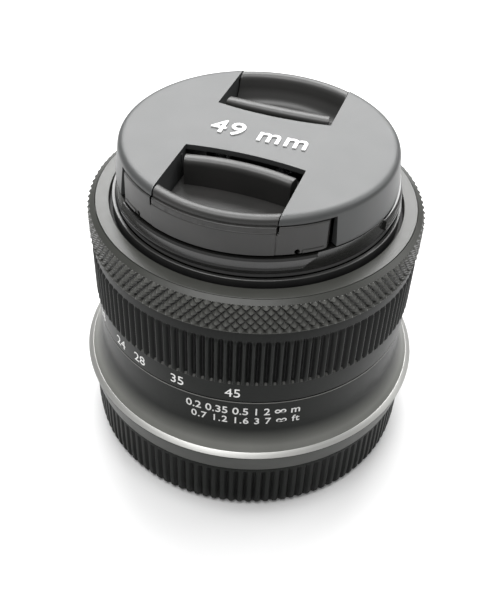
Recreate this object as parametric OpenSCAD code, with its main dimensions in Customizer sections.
// Retractable zoom lens with its front and rear caps, standing on the rear cap.
// Z is the optical axis, z = 0 is the outer face of the rear cap.

/* [Barrel] */
// Largest diameter, at the silver ring
barrel_d = 69; // [68.6:0.1:71]
// Diameter of the zoom ring at its rib crests
zoom_d = 63; // [62.6:0.1:64]
// Diameter of the control ring at its knurl crests
control_d = 63.6; // [63.2:0.1:65]
// Diameter of the sliding front barrel
front_d = 51.9; // [51.6:0.1:52]

/* [Mount] */
// Outer diameter of the bayonet lugs
lug_d = 53.8; // [53.4:0.1:54]
// Number of bayonet lugs
lug_n = 3; // [3]
// Number of electrical contacts
contact_n = 12; // [8:1:12]
// Number of mount screws
screw_n = 4; // [3:1:4]

/* [Zoom] */
// Turn of the zoom ring from locked to longest, in degrees
zoom_turn = 100; // [80:1:100]
// Travel of the front barrel
front_travel = 18; // [12:0.5:18]
// Travel of the inner carriage
carriage_travel = 10; // [6:0.5:10]

/* [Iris] */
// Turn of the iris lever between its two stops, in degrees
lever_turn = 48.5; // [40:0.5:50]

/* [Caps] */
// Outer diameter of the front cap's skirt
cap_d = 52; // [51.6:0.1:52.4]
// Outer diameter of the rear cap
rear_cap_d = 66.4; // [66:0.1:67]
// Turn of the front cap about the optical axis, in degrees
cap_turn = -17.3; // [-90:0.1:90]

/* [Hidden] */

$fn = 96;
eps = 0.01;          // overrun of a cutter past a face
run_gap = 0.05;      // radial running clearance
charcoal = [0.16, 0.16, 0.17];
black = [0.07, 0.07, 0.075];
steel = [0.6, 0.61, 0.63];
gold = [0.82, 0.66, 0.3];
glass_tint = [0.72, 0.82, 0.86, 0.5];

// --- levels along the optical axis ---
rear_cap_h = 11.8;
rear_floor = 1.8;
flange_z = 11.3;         // seat of the bayonet
flange_t = 2.1;
flange_r = 30.6;
mount_tube_z = 5.3;
mount_tube_r = 25.3;
mount_bore_r = 23.3;
lug_z = 6.2;
lug_t = 1.4;
lug_span = 50;
tab_span = 45;
barrel_z = 12.1;
silver_z = 16.7;
silver_top_z = 17.3;
flare_top_z = 22.5;
barrel_top_z = 28.7;
zoom_z = 28.8;
zoom_top_z = 46.2;
control_z = 46.4;
knurl_top_z = 52.4;
control_top_z = 53.1;
trim_z = 52.2;
trim_top_z = 53.2;
sleeve_top_z = 54.1;
front_z = 28;
front_top_z = 58.3;
cap_z = 58.5;
cap_top_z = 65.8;

// --- radii ---
barrel_r = barrel_d / 2;
zoom_r = zoom_d / 2;
control_r = control_d / 2;
front_r = front_d / 2;
front_bore_r = 24.7;
neck_r = 31.1;           // barrel wall above the flare
guide_in_r = 26.35;
guide_out_r = 27.05;
cam_in_r = 27.25;
cam_out_r = 28.25;
cam_z = 16.7;
cam_top_z = 49.5;
zoom_bore_r = 28.55;
holder_r = 29;
holder_bore_r = 28.45;
trim_bore_r = 27.64;
trim_r = 30.2;
filter_minor_r = 24.1;   // M49 x 0.75 internal thread
carriage_r = 22.9;
carriage_bore_r = 22.1;

// --- followers and their slots ---
follower_n = 3;
follower_r = 1;
follower_tip_r = 28.1;
slot_half = 1.1;
front_follower_z = 29.5;
carriage_follower_z = 20;
carriage_phase = 60;     // turn of the carriage followers from the front ones

// --- iris ---
blade_n = 7;
pivot_R = 11.2;
drive_R = 14.5;
blade_t = 0.15;
blade_pitch = 0.25;
blade_z = 34.15;
blade_in_r = 7;
blade_out_r = 10.2;
blade_span = 95;
iris_pin_r = 0.45;
iris_ring_z = 36.2;
iris_ring_t = 0.8;
motor_R = 18.6;          // both motors stand this far from the axis
motor_r = 2.5;
lever_arm = 2;
lever_pin_r = 0.35;

// --- carriage parts ---
rod_R = 18;
rod_r = 0.75;
rod_angles = [0, 240];
screw_angle = 90;
iris_motor_angle = 180;
focus_screw_r = 0.8;
pin_r = 0.5;
x_pin_R = 11.8;
stabiliser_play = 0.8;

// --- front cap, in its own turned axes ---
recess_half = 11;
recess_y = 6.95;
recess_arc_R = 60;
cap_plate_t = 1.2;
cap_wall = 0.9;
latch_z = 57.7;
latch_floor_z = 60.3;
latch_lip_z = 65.4;
latch_lip_t = 2.7;
latch_lip_y = 8.85;      // leaves room in front of the cover's edge for the press
latch_lip_half = 10.1;
latch_shoulder_z = 63;   // the springs bear on the shoulder below the lip
latch_rim_z = 65.2;
latch_step_z = 63;
latch_reach = 18.1;      // half-width of the latch across its two arms
window_half = 48.6;      // half-angle of the latch window in the skirt
tooth_r = filter_minor_r - run_gap;
back_plate_z = 56.3;
back_plate_t = 1.2;
back_plate_r = 23.6;
web_t = 1.2;             // wall across the middle that the springs bear on
spring_x = 6;
spring_z = 61.5;
spring_r = 1.3;
spring_wire = 0.22;
spring_turns = 5;

// ---------------------------------------------------------------- helpers

module tube(z0, z1, r_in, r_out) {
    translate([0, 0, z0]) difference() {
        cylinder(h = z1 - z0, r = r_out);
        translate([0, 0, -eps]) cylinder(h = z1 - z0 + 2 * eps, r = r_in);
    }
}

module sector(z0, z1, r_in, r_out, span) {
    // centred on the +X axis
    translate([0, 0, z0]) rotate([0, 0, -span / 2])
        rotate_extrude(angle = span) translate([r_in, 0]) square([r_out - r_in, z1 - z0]);
}

module around(n, phase = 0) {
    for (i = [0 : n - 1]) rotate([0, 0, phase + i * 360 / n]) children();
}

module radial_pin(r0, r1, z, r) {
    translate([r0, 0, z]) rotate([0, 90, 0]) cylinder(h = r1 - r0, r = r);
}

function sag(R, r) = R - sqrt(R * R - r * r);

// Height of a glass surface above its apex, at a distance x from the axis.
// A positive radius is convex and falls away, a negative one is concave and rises.
function surface_h(R, x) = R > 0 ? -sag(R, x) : sag(-R, x);

// A glass element, with its two apexes at z_low and z_high.
module element(z_low, z_high, r, R_low, R_high) {
    steps = 12;
    xs = [for (i = [0 : steps]) r * i / steps];
    color(glass_tint) rotate_extrude() polygon(concat(
        [for (i = [0 : steps]) [xs[i], z_low - surface_h(R_low, xs[i])]],
        [for (i = [steps : -1 : 0]) [xs[i], z_high + surface_h(R_high, xs[i])]]));
}

// A cutter that climbs from z0 to z0 + rise over the zoom turn, through the cam barrel.
// It is a chain of tilted blocks, which on this radius stays within 0.02 of the true helix.
module cam_slot(z0, rise) {
    blocks = 6;
    over = 3;            // degrees past each end of the travel
    mid_r = (cam_in_r + cam_out_r) / 2;
    per_degree = rise / zoom_turn;
    tilt = atan(per_degree * 180 / PI / mid_r);
    span = (zoom_turn + 2 * over) / blocks;
    half_l = mid_r * sin(span / 2) / cos(tilt) + 0.15;
    for (i = [0 : blocks - 1]) {
        a = -over + (i + 0.5) * span;
        rotate([0, 0, a]) translate([cam_in_r - 1, 0, z0 + a * per_degree]) rotate([tilt, 0, 0])
            translate([0, -half_l, -slot_half]) cube([3, 2 * half_l, 2 * slot_half]);
    }
}

// ---------------------------------------------------------------- rear cap

module rear_cap() {
    wall_r = 31.3;
    chamfer = 0.8;
    tab_in_r = 25.6;
    tab_z = 7.9;
    tab_t = 1.4;
    R = rear_cap_d / 2;
    color(black) {
        rotate_extrude() polygon([
            [0, 0], [R - chamfer, 0], [R - 0.3, chamfer], [R, rear_cap_h - 0.5],
            [R - 0.3, rear_cap_h], [wall_r, rear_cap_h], [wall_r, rear_floor], [0, rear_floor]
        ]);
        around(lug_n) sector(tab_z, tab_z + tab_t, tab_in_r, wall_r + eps, tab_span);
    }
}

// ---------------------------------------------------------------- fixed barrel

module mount_screw_holes(r, z0, z1) {
    around(screw_n, 45) translate([28.6, 0, z0]) cylinder(h = z1 - z0, r = r);
}

module bayonet_mount() {
    color([0.36, 0.37, 0.39]) difference() {
        union() {
            tube(flange_z, flange_z + flange_t, mount_bore_r, flange_r);
            tube(mount_tube_z, flange_z + eps, mount_bore_r, mount_tube_r);
            around(lug_n) sector(lug_z, lug_z + lug_t, mount_tube_r - eps, lug_d / 2, lug_span);
        }
        mount_screw_holes(1.4, flange_z - eps, flange_z + 0.8);
        mount_screw_holes(0.75, flange_z, flange_z + flange_t + eps);
    }
}

module mount_screws() {
    color(steel) difference() {
        union() {
            mount_screw_holes(1.35, flange_z + 0.05, flange_z + 0.8);
            mount_screw_holes(0.7, flange_z + 0.05, flange_z + flange_t + 1.6);
        }
        around(screw_n, 45) translate([28.6 - 0.9, -0.15, flange_z]) cube([1.8, 0.3, 0.35]);
        around(screw_n, 45) translate([28.6 - 0.15, -0.9, flange_z]) cube([0.3, 1.8, 0.35]);
    }
}

contact_R = 21.9;
contact_step = 6.6;
contact_start = 270 - contact_step * (contact_n - 1) / 2;

module contact_sites(z0, z1, r) {
    for (i = [0 : contact_n - 1])
        rotate([0, 0, contact_start + i * contact_step])
            translate([contact_R, 0, z0]) cylinder(h = z1 - z0, r = r);
}

module contact_block() {
    color(black) difference() {
        rotate([0, 0, 270]) sector(5.6, 7.7, 20.5, mount_bore_r, contact_step * contact_n + 6);
        contact_sites(5.6 - eps, 6.7, 0.5);
    }
}

module contact_pins() {
    color(gold) contact_sites(5.2, 6.65, 0.45);
}

module rear_baffle() {
    color(black) difference() {
        translate([0, 0, 7.9]) cylinder(h = 1.2, r = mount_bore_r);
        translate([-12.5, -8.5, 7.8]) cube([25, 17, 1.4]);
    }
}

module rear_lens_cell() {
    color(black) rotate_extrude() polygon([
        [12.05, 9.3], [mount_bore_r, 9.3], [mount_bore_r, 10.3], [13.2, 10.3], [13.2, 12.4],
        [12.05, 12.4]
    ]);
}

module rear_element() {
    element(9.6, 12.9, 12, 80, 50);
}

module main_board() {
    color([0.1, 0.35, 0.2]) union() {
        tube(16.8, 17.5, 28.7, 30.7);
        for (a = [20, 75, 140, 205, 260, 320])
            rotate([0, 0, a]) translate([29, -1.6, 17.5 - eps]) cube([1.4, 3.2, 0.9]);
    }
}

flare_steps = 8;
function flare_r(t) = neck_r + (barrel_r - 1.1 - neck_r) * pow(1 - t, 2.2);

module fixed_barrel() {
    flare = [for (i = [0 : flare_steps])
        let (t = i / flare_steps)
        [flare_r(t), silver_top_z + 0.05 + t * (flare_top_z - silver_top_z)]];
    wall_in = 31;        // inside of the base
    neck_in = 29.6;
    ledge_in = 28.7;
    ledge_z = 15.6;
    difference() {
        color(charcoal) rotate_extrude() polygon(concat(
            [[wall_in, barrel_z], [barrel_r - 1, barrel_z], [barrel_r - 0.35, silver_z - 0.6],
             [barrel_r - 0.35, silver_z - 0.4], [33, silver_z - 0.4], [33, silver_top_z]],
            flare,
            [[neck_r, barrel_top_z], [neck_in, barrel_top_z], [neck_in, 21], [wall_in, 19],
             [wall_in, ledge_z + 1], [ledge_in, ledge_z + 1], [ledge_in, ledge_z], [wall_in, ledge_z]]));
        around(3, 30) translate([29.7, 0, ledge_z - eps]) cylinder(h = 1 + 2 * eps, r = 0.6);
    }
}

module barrel_screws() {
    color(steel) around(3, 30) {
        translate([29.7, 0, 16.6]) cylinder(h = 0.19, r = 0.95);
        translate([29.7, 0, 14.2]) cylinder(h = 2.4 + eps, r = 0.55);
    }
}

module silver_ring() {
    color([0.8, 0.8, 0.81]) rotate_extrude() polygon([
        [33, silver_z - 0.4], [barrel_r - 0.25, silver_z - 0.4], [barrel_r, silver_z],
        [barrel_r - 1.05, silver_top_z], [33, silver_top_z]
    ]);
}

module guide_barrel() {
    base_z = flange_z + flange_t;
    color(black) difference() {
        union() {
            tube(base_z, base_z + 2.1, 24.6, flange_r);
            tube(base_z + 2, sleeve_top_z, guide_in_r, guide_out_r);
        }
        around(follower_n)
            translate([guide_in_r - 1, -slot_half, front_follower_z - 1.3])
                cube([2.5, 2 * slot_half, front_travel + 2.6]);
        around(follower_n, carriage_phase)
            translate([guide_in_r - 1, -slot_half, carriage_follower_z - 1.3])
                cube([2.5, 2 * slot_half, carriage_travel + 2.6]);
        mount_screw_holes(0.75, base_z - eps, base_z + 1.8);
        around(3, 30) translate([29.7, 0, 14]) cylinder(h = 3, r = 0.6);
    }
}

sensor_angle = 90;

module ring_holder() {
    color(charcoal) difference() {
        rotate_extrude() polygon([
            [holder_bore_r, 46.6], [holder_r, 46.6], [holder_r, trim_z], [trim_bore_r, trim_z],
            [trim_bore_r, 51.5], [guide_out_r, 51.5], [guide_out_r, 50.2], [holder_bore_r, 50.2]
        ]);
        rotate([0, 0, sensor_angle]) translate([28, -3.1, 47]) cube([2, 6.2, 2.6]);
    }
}

module ring_sensor() {
    color([0.1, 0.35, 0.2]) intersection() {
        rotate([0, 0, sensor_angle]) translate([28, -3, 47.1]) cube([2, 6, 2.4]);
        tube(47, 50, holder_bore_r, holder_r - 0.05);
    }
}

module front_trim_ring() {
    color(charcoal) tube(trim_z, trim_top_z, trim_bore_r, trim_r);
}

// ---------------------------------------------------------------- turning rings

module zoom_ring() {
    band_r = 31.2;
    key_pocket_r = 30;
    color(charcoal) difference() {
        rotate_extrude() polygon([
            [zoom_bore_r, 23], [29.3, 23], [29.3, zoom_z], [neck_r - 0.1, zoom_z],
            [band_r, zoom_z + 0.2], [band_r, 33.4], [zoom_r, 33.8], [zoom_r, 44],
            [band_r, 44.3], [band_r, zoom_top_z - 0.15], [band_r - 0.2, zoom_top_z],
            [zoom_bore_r, zoom_top_z]
        ]);
        around(follower_n, 20) radial_pin(zoom_bore_r - 1, key_pocket_r, 44.9, 0.95);
    }
}

module cam_barrel() {
    color([0.3, 0.3, 0.32]) difference() {
        tube(cam_z, cam_top_z, cam_in_r, cam_out_r);
        around(follower_n) cam_slot(front_follower_z, front_travel);
        around(follower_n, carriage_phase) cam_slot(carriage_follower_z, carriage_travel);
        around(follower_n, 20) radial_pin(cam_in_r - 1, cam_out_r + 1, 44.9, 0.95);
    }
}

module drive_keys() {
    color(steel) around(follower_n, 20) radial_pin(cam_in_r + 0.15, 29.95, 44.9, 0.9);
}

module control_ring() {
    bore_r = holder_r + 0.1;
    color(black) rotate_extrude() polygon([
        [bore_r, control_z], [31.2, control_z], [control_r, control_z + 0.3],
        [control_r, knurl_top_z], [control_r - 0.15, knurl_top_z + 0.1],
        [trim_r + 0.1, control_top_z], [trim_r + 0.1, trim_z - 0.25], [bore_r, trim_z - 0.25]
    ]);
}

// ---------------------------------------------------------------- sliding front

module front_barrel() {
    lug_r = 26.6;
    lug_low_z = 56.2;
    color(black) difference() {
        union() {
            tube(front_z, front_top_z, front_bore_r, front_r);
            tube(54.3, 54.7, front_r - eps, 26.25);
            around(3, 251) sector(lug_low_z, front_top_z, front_r - eps, lug_r, 84);
        }
        around(follower_n) radial_pin(25.2, 28, front_follower_z, follower_r + 0.02);
    }
}

module front_followers() {
    color(steel) around(follower_n)
        radial_pin(25.2, follower_tip_r, front_follower_z, follower_r);
}

module filter_ring() {
    color(black) tube(53.6, front_top_z - 0.1, filter_minor_r, front_bore_r);
}

module front_bezel() {
    color(black) rotate_extrude() polygon([
        [14.8, 51.1], [24.6, 51.1], [24.6, 53.5], [24, 53.5], [22.5, 52.9], [15, 51.7], [14.8, 51.5]
    ]);
}

module front_group_cell() {
    color(black) rotate_extrude() polygon([
        [9.55, 42], [24.6, 42], [24.6, 51], [23.6, 51], [23.6, 43.2], [17, 43.2], [17, 50.4],
        [15.55, 50.4], [15.55, 43.2], [10.5, 43.2], [10.5, 47.5], [9.55, 47.5]
    ]);
}

module front_element() {
    element(50.6, 52.6, 15.5, -22, 62);
}

module second_element() {
    element(46.2, 47.4, 9.5, -30, -80);
}

module third_element() {
    element(43, 45.6, 9.5, -60, 24);
}

// ---------------------------------------------------------------- inner carriage

module carriage_frame() {
    color(black) difference() {
        union() {
            tube(16, 40.8, carriage_bore_r, carriage_r);
            tube(16, 16.8, 8.6, carriage_bore_r + eps);
            tube(18.3, 21.7, carriage_r - eps, 26);
        }
        around(follower_n, carriage_phase)
            radial_pin(24.4, 28, carriage_follower_z, follower_r + 0.02);
        for (a = rod_angles) rotate([0, 0, a]) translate([rod_R, 0, 16.3]) cylinder(h = 1, r = rod_r);
        rotate([0, 0, screw_angle]) translate([motor_R, 0, 16.3])
            cylinder(h = 1, r = focus_screw_r + run_gap);
    }
}

module carriage_followers() {
    color(steel) around(follower_n, carriage_phase)
        radial_pin(24.4, follower_tip_r, carriage_follower_z, follower_r);
}

module carriage_lens_cell() {
    color(black) rotate_extrude() polygon([
        [8.55, 38], [carriage_bore_r, 38], [carriage_bore_r, 38.9], [9.7, 38.9], [9.7, 40.2],
        [8.55, 40.2]
    ]);
}

module fourth_element() {
    element(38.3, 41, 8.5, 60, 26);
}

module stabiliser_base() {
    color(black) {
        difference() {
            tube(24.2, 25, 9, carriage_bore_r);
            for (a = rod_angles)
                rotate([0, 0, a]) translate([rod_R, 0, 24.2 - eps]) cylinder(h = 0.5, r = rod_r);
            rotate([0, 0, screw_angle]) translate([motor_R, 0, 24]) cylinder(h = 2, r = 1);
        }
        for (a = [0, 180])
            rotate([0, 0, a]) translate([x_pin_R, 0, 25 - eps]) cylinder(h = 1.1, r = pin_r);
    }
}

module stabiliser_cover() {
    color(black) difference() {
        tube(30.3, 31, 9, carriage_bore_r);
        rotate([0, 0, screw_angle]) translate([motor_R, 0, 30]) cylinder(h = 2, r = motor_r + 0.1);
        rotate([0, 0, iris_motor_angle]) translate([motor_R, 0, 30])
            cylinder(h = 2, r = motor_r + 0.1);
    }
}

module coil(l, w, t) {
    difference() {
        translate([-l / 2, -w / 2, 0]) cube([l, w, t]);
        translate([-l / 2 + 1.1, -w / 2 + 1.1, -eps]) cube([l - 2.2, w - 2.2, t + 2 * eps]);
    }
}

module stabiliser_coils() {
    color([0.72, 0.42, 0.24]) for (a = [45, 315])
        rotate([0, 0, a]) translate([11.6, 0, 29.8]) coil(4.4, 7, 0.5);
}

module iris_base() {
    color(black) {
        difference() {
            tube(33.2, 34, 7.6, carriage_bore_r);
            rotate([0, 0, iris_motor_angle]) translate([motor_R, 0, 33]) cylinder(h = 2, r = 0.9);
        }
        around(blade_n) translate([pivot_R, 0, 34 - eps]) cylinder(h = 2.1, r = iris_pin_r);
    }
}

module iris_cover() {
    color(black) tube(37.2, 37.8, 7.6, carriage_bore_r);
}

module iris_motor() {
    color(steel) rotate([0, 0, iris_motor_angle]) translate([motor_R, 0, 0]) difference() {
        translate([0, 0, 26]) cylinder(h = 7.1, r = motor_r);
        translate([0, 0, 31.9]) cylinder(h = 2, r = pin_r + 0.05);
    }
}

module focus_motor() {
    color(steel) rotate([0, 0, screw_angle]) translate([motor_R, 0, 0]) difference() {
        translate([0, 0, 25]) cylinder(h = 7, r = motor_r);
        translate([0, 0, 24.9]) cylinder(h = 1.2, r = focus_screw_r + run_gap);
    }
}

module focus_rods() {
    color(steel) for (a = rod_angles)
        rotate([0, 0, a]) translate([rod_R, 0, 16.3]) cylinder(h = 8.35, r = rod_r);
}

// ---------------------------------------------------------------- iris

// The lever starts at one end of its swing, so the ring's slot starts off its centre line.
lever_start = lever_turn / 2;
lever_pin_x = motor_R - lever_arm * cos(lever_start);
lever_pin_y = -lever_arm * sin(lever_start);
ring_ear_angle = atan(lever_pin_y / lever_pin_x);

module iris_ring() {
    slot_w = 2 * (iris_pin_r + run_gap);
    ear_slot_w = 2 * (lever_pin_r + run_gap);
    translate([0, 0, iris_ring_z]) color(black) difference() {
        union() {
            tube(0, iris_ring_t, 13.1, 16.1);
            rotate([0, 0, iris_motor_angle + ring_ear_angle])
                translate([15, -1.1, 0]) cube([2.9, 2.2, iris_ring_t]);
        }
        around(blade_n) translate([13.7, -slot_w / 2, -eps]) cube([1.5, slot_w, iris_ring_t + 2 * eps]);
        rotate([0, 0, iris_motor_angle + ring_ear_angle])
            translate([16.15, -ear_slot_w / 2, -eps]) cube([2, ear_slot_w, iris_ring_t + 2 * eps]);
    }
}

module iris_lever() {
    arm_z = 34.9;
    arm_t = 0.9;
    color(steel) rotate([0, 0, iris_motor_angle]) translate([motor_R, 0, 0]) {
        translate([0, 0, 32]) cylinder(h = arm_z + arm_t - 32, r = pin_r);
        rotate([0, 0, 180 + lever_start]) {
            translate([0, 0, arm_z]) cylinder(h = arm_t, r = 0.9);
            translate([0, -0.5, arm_z]) cube([lever_arm, 1, arm_t]);
            translate([lever_arm, 0, arm_z]) cylinder(h = arm_t, r = 0.5);
            translate([lever_arm, 0, arm_z]) cylinder(h = 2.05, r = lever_pin_r);
        }
    }
}

module blade_crescent() {
    far = 2 * blade_out_r;
    start = -4;
    intersection() {
        difference() {
            circle(r = blade_out_r);
            circle(r = blade_in_r);
        }
        polygon([[0, 0], for (i = [0 : 2]) let (a = start + i * blade_span / 2)
            [far * cos(a), far * sin(a)]]);
    }
}

module iris_blade(k) {
    z = blade_z + (k - 1) * blade_pitch;
    pin_top = iris_ring_z + iris_ring_t - 0.05;
    color([0.1, 0.1, 0.11]) rotate([0, 0, (k - 1) * 360 / blade_n]) {
        translate([0, 0, z]) linear_extrude(height = blade_t) difference() {
            union() {
                blade_crescent();
                translate([pivot_R, 0]) circle(r = 1.3);
                translate([pivot_R - 2, -1.3]) square([2, 2.6]);
                translate([pivot_R, -0.7]) square([drive_R - pivot_R, 1.4]);
                translate([drive_R, 0]) circle(r = 0.7);
            }
            translate([pivot_R, 0]) circle(r = iris_pin_r + run_gap);
        }
        translate([drive_R, 0, z]) cylinder(h = pin_top - z, r = iris_pin_r);
    }
}

module iris_blade_1() { color(black) iris_blade(1); }
module iris_blade_2() { color(black) iris_blade(2); }
module iris_blade_3() { color(black) iris_blade(3); }
module iris_blade_4() { color(black) iris_blade(4); }
module iris_blade_5() { color(black) iris_blade(5); }
module iris_blade_6() { color(black) iris_blade(6); }
module iris_blade_7() { color(black) iris_blade(7); }

// ---------------------------------------------------------------- stabiliser and focus

module slot_cut(along_x, z, h) {
    // clear of a guide pin over the frame's play both ways
    l = 2 * (pin_r + stabiliser_play + 0.1);
    w = 2 * (pin_r + run_gap);
    translate([along_x ? -l / 2 : -w / 2, along_x ? -w / 2 : -l / 2, z])
        cube([along_x ? l : w, along_x ? w : l, h]);
}

module stabiliser_x_frame() {
    color([0.25, 0.25, 0.27]) {
        difference() {
            tube(25.35, 26.15, 9.6, 14.2);
            for (s = [-1, 1]) translate([s * x_pin_R, 0, 0]) slot_cut(true, 25.3, 1);
        }
        for (s = [-1, 1]) translate([0, s * x_pin_R, 26.15 - eps]) cylinder(h = 1.3, r = pin_r);
    }
}

module stabiliser_lens_frame() {
    color(black) difference() {
        union() {
            tube(26.45, 27.45, 8.05, 14);
            tube(26.45, 29.3, 8.05, 9.4);
        }
        for (s = [-1, 1]) translate([0, s * x_pin_R, 0]) slot_cut(false, 26.4, 1.2);
    }
    color(steel) for (a = [45, 315])
        rotate([0, 0, a]) translate([10, -2.6, 27.45 - eps]) cube([3.2, 5.2, 1.7]);
}

module stabiliser_element() {
    element(26.5, 29.4, 8, 40, 22);
}

module focus_frame() {
    color(black) difference() {
        union() {
            tube(17.5, 19.9, 7.55, 9);
            for (a = concat(rod_angles, [screw_angle])) rotate([0, 0, a]) {
                translate([8.5, -1.6, 17.8]) cube([rod_R - 8.5, 3.2, 1.6]);
                translate([a == screw_angle ? motor_R : rod_R, 0, 17.8]) cylinder(h = 1.9, r = 2);
            }
        }
        for (a = rod_angles)
            rotate([0, 0, a]) translate([rod_R, 0, 17]) cylinder(h = 4, r = rod_r + run_gap);
        rotate([0, 0, screw_angle]) translate([motor_R, 0, 17])
            cylinder(h = 4, r = focus_screw_r + run_gap);
    }
}

module focus_element() {
    element(18, 18.9, 7.5, -60, -30);
}

module focus_screw() {
    color(steel) rotate([0, 0, screw_angle]) translate([motor_R, 0, 16.35])
        cylinder(h = 9.6, r = focus_screw_r);
}

// ---------------------------------------------------------------- front cap

// The finger recess in plan: parallel sides and an inner edge that bulges to the middle.
module recess_plan(half, inner, outer) {
    intersection() {
        translate([-half, -outer]) square([2 * half, outer]);
        translate([0, -inner - recess_arc_R]) circle(r = recess_arc_R, $fn = 180);
    }
}

module cap_profile() {
    R = cap_d / 2;
    fillet = 1.3;
    arc_steps = 5;
    top_r = R - 0.7;
    rotate_extrude() polygon(concat(
        [[0, cap_z], [R, cap_z]],
        [for (i = [0 : arc_steps]) let (a = 90 * i / arc_steps)
            [top_r - fillet + fillet * cos(a), cap_top_z - fillet + fillet * sin(a)]],
        [[0, cap_top_z]]));
}

module both_ends() {
    children();
    rotate([0, 0, 180]) children();
}

module cap_cover() {
    R = cap_d / 2;
    plate_z = cap_top_z - cap_plate_t;
    side_t = 0.8;
    color(charcoal) rotate([0, 0, cap_turn]) {
        difference() {
            cap_profile();
            translate([0, 0, cap_z - 1]) cylinder(h = plate_z - cap_z + 1, r = R - cap_wall - 0.5);
            both_ends() {
                translate([0, 0, cap_z - 1]) linear_extrude(height = cap_top_z - cap_z + 2)
                    recess_plan(recess_half, recess_y, R + 1);
                rotate([0, 0, -90]) sector(cap_z - 1, plate_z, R - 3, R + 1, 2 * window_half);
            }
        }
        both_ends() for (s = [-1, 1])
            translate([s * (recess_half + side_t / 2) - side_t / 2, -19.6, latch_z - 0.2])
                cube([side_t, 19.6 - recess_y - 1.2, plate_z - latch_z + 0.2 + eps]);
        translate([-10, -web_t / 2, latch_z - 0.2]) cube([20, web_t, plate_z - latch_z + 0.2 + eps]);
    }
}

module cap_back_plate() {
    cut_r = 21.2;
    color(black) rotate([0, 0, cap_turn]) difference() {
        translate([0, 0, back_plate_z]) cylinder(h = back_plate_t, r = back_plate_r);
        both_ends() rotate([0, 0, -90])
            sector(back_plate_z - 1, back_plate_z + 2, cut_r, back_plate_r + 1, 50);
    }
}

// An upright wall of the latch that follows the inner edge of the recess.
module latch_wall(half, inner, thick, top_z) {
    translate([0, 0, latch_z]) linear_extrude(height = top_z - latch_z) difference() {
        recess_plan(half, inner, 13);
        recess_plan(half + 1, inner + thick, 14);
    }
}

// A piece of the latch's round outer wall, cut to a width across the latch.
module latch_band(half, z0, z1, r_in, r_out) {
    intersection() {
        rotate([0, 0, -90]) sector(z0, z1, r_in, r_out, 100);
        translate([-half, -r_out - 1, 0]) cube([2 * half, r_out + 1, cap_top_z]);
    }
}

module cap_latch() {
    R = cap_d / 2;
    arm_z = cap_z + 0.1;
    arm_top_z = 64.2;
    wall_in = R - 1.4;
    half = recess_half - 0.2;
    // inner lip, pushed by the finger, and the shoulder below it
    latch_wall(latch_lip_half, latch_lip_y, latch_lip_t, latch_lip_z);
    latch_wall(half, recess_y, latch_lip_y + latch_lip_t - recess_y, latch_shoulder_z);
    // floor
    translate([0, 0, arm_z]) linear_extrude(height = latch_floor_z - arm_z) intersection() {
        recess_plan(half, recess_y + 1, R);
        circle(r = back_plate_r);
    }
    // outer wall with its two arms, and their set-back top edge
    latch_band(latch_reach, arm_z, latch_step_z, wall_in, R);
    latch_band(latch_reach, latch_step_z - eps, arm_top_z, wall_in - 0.1, R - 0.8);
    // rim of the outer wall, and the link from the floor to the wall
    latch_band(half, latch_floor_z - eps, latch_rim_z, back_plate_r - 0.7, R - 0.8);
    latch_band(half, arm_z, latch_floor_z, back_plate_r - 1, R - eps);
    // teeth that reach into the filter thread
    rotate([0, 0, -90]) sector(55, cap_z + 0.2, tooth_r - 0.8, tooth_r, 36);
}

module cap_latch_front() {
    color(charcoal) rotate([0, 0, cap_turn]) cap_latch();
}

module cap_latch_back() {
    color(charcoal) rotate([0, 0, cap_turn + 180]) cap_latch();
}

function coil_point(t, l) = [
    spring_r * cos(360 * spring_turns * t),
    l * t,
    spring_r * sin(360 * spring_turns * t)
];

// A wire swept round a coil that runs along +Y for a length l.
module coil_spring(l) {
    per_turn = 10;
    sides = 5;
    n = spring_turns * per_turn;
    points = [for (i = [0 : n], k = [0 : sides - 1])
        let (t = i / n, a = 360 * spring_turns * t, b = 360 * k / sides, c = coil_point(t, l))
        [c[0] + spring_wire * cos(b) * cos(a), c[1] + spring_wire * sin(b),
         c[2] + spring_wire * cos(b) * sin(a)]];
    faces = [for (i = [0 : n - 1], k = [0 : sides - 1])
        let (p = i * sides + k, q = i * sides + (k + 1) % sides)
        each [[p, q, q + sides], [p, q + sides, p + sides]]];
    polyhedron(points, concat(faces,
        [[for (k = [sides - 1 : -1 : 0]) k], [for (k = [0 : sides - 1]) n * sides + k]]));
}

module cap_springs() {
    gap = 0.3;
    color(steel) rotate([0, 0, cap_turn]) both_ends() for (s = [-1, 1])
        translate([s * spring_x, web_t / 2 + gap, spring_z])
            coil_spring(recess_y - web_t / 2 - 2 * gap - 0.3);
}

rear_cap();
bayonet_mount();
mount_screws();
contact_block();
contact_pins();
rear_baffle();
rear_lens_cell();
rear_element();
main_board();
fixed_barrel();
barrel_screws();
silver_ring();
guide_barrel();
ring_holder();
ring_sensor();
front_trim_ring();
zoom_ring();
cam_barrel();
drive_keys();
control_ring();
front_barrel();
front_followers();
filter_ring();
front_bezel();
front_group_cell();
front_element();
second_element();
third_element();
carriage_frame();
carriage_followers();
carriage_lens_cell();
fourth_element();
stabiliser_base();
stabiliser_cover();
stabiliser_coils();
iris_base();
iris_cover();
iris_motor();
focus_motor();
focus_rods();
iris_ring();
iris_lever();
iris_blade_1();
iris_blade_2();
iris_blade_3();
iris_blade_4();
iris_blade_5();
iris_blade_6();
iris_blade_7();
stabiliser_x_frame();
stabiliser_lens_frame();
stabiliser_element();
focus_frame();
focus_element();
focus_screw();
cap_cover();
cap_back_plate();
cap_latch_front();
cap_latch_back();
cap_springs();
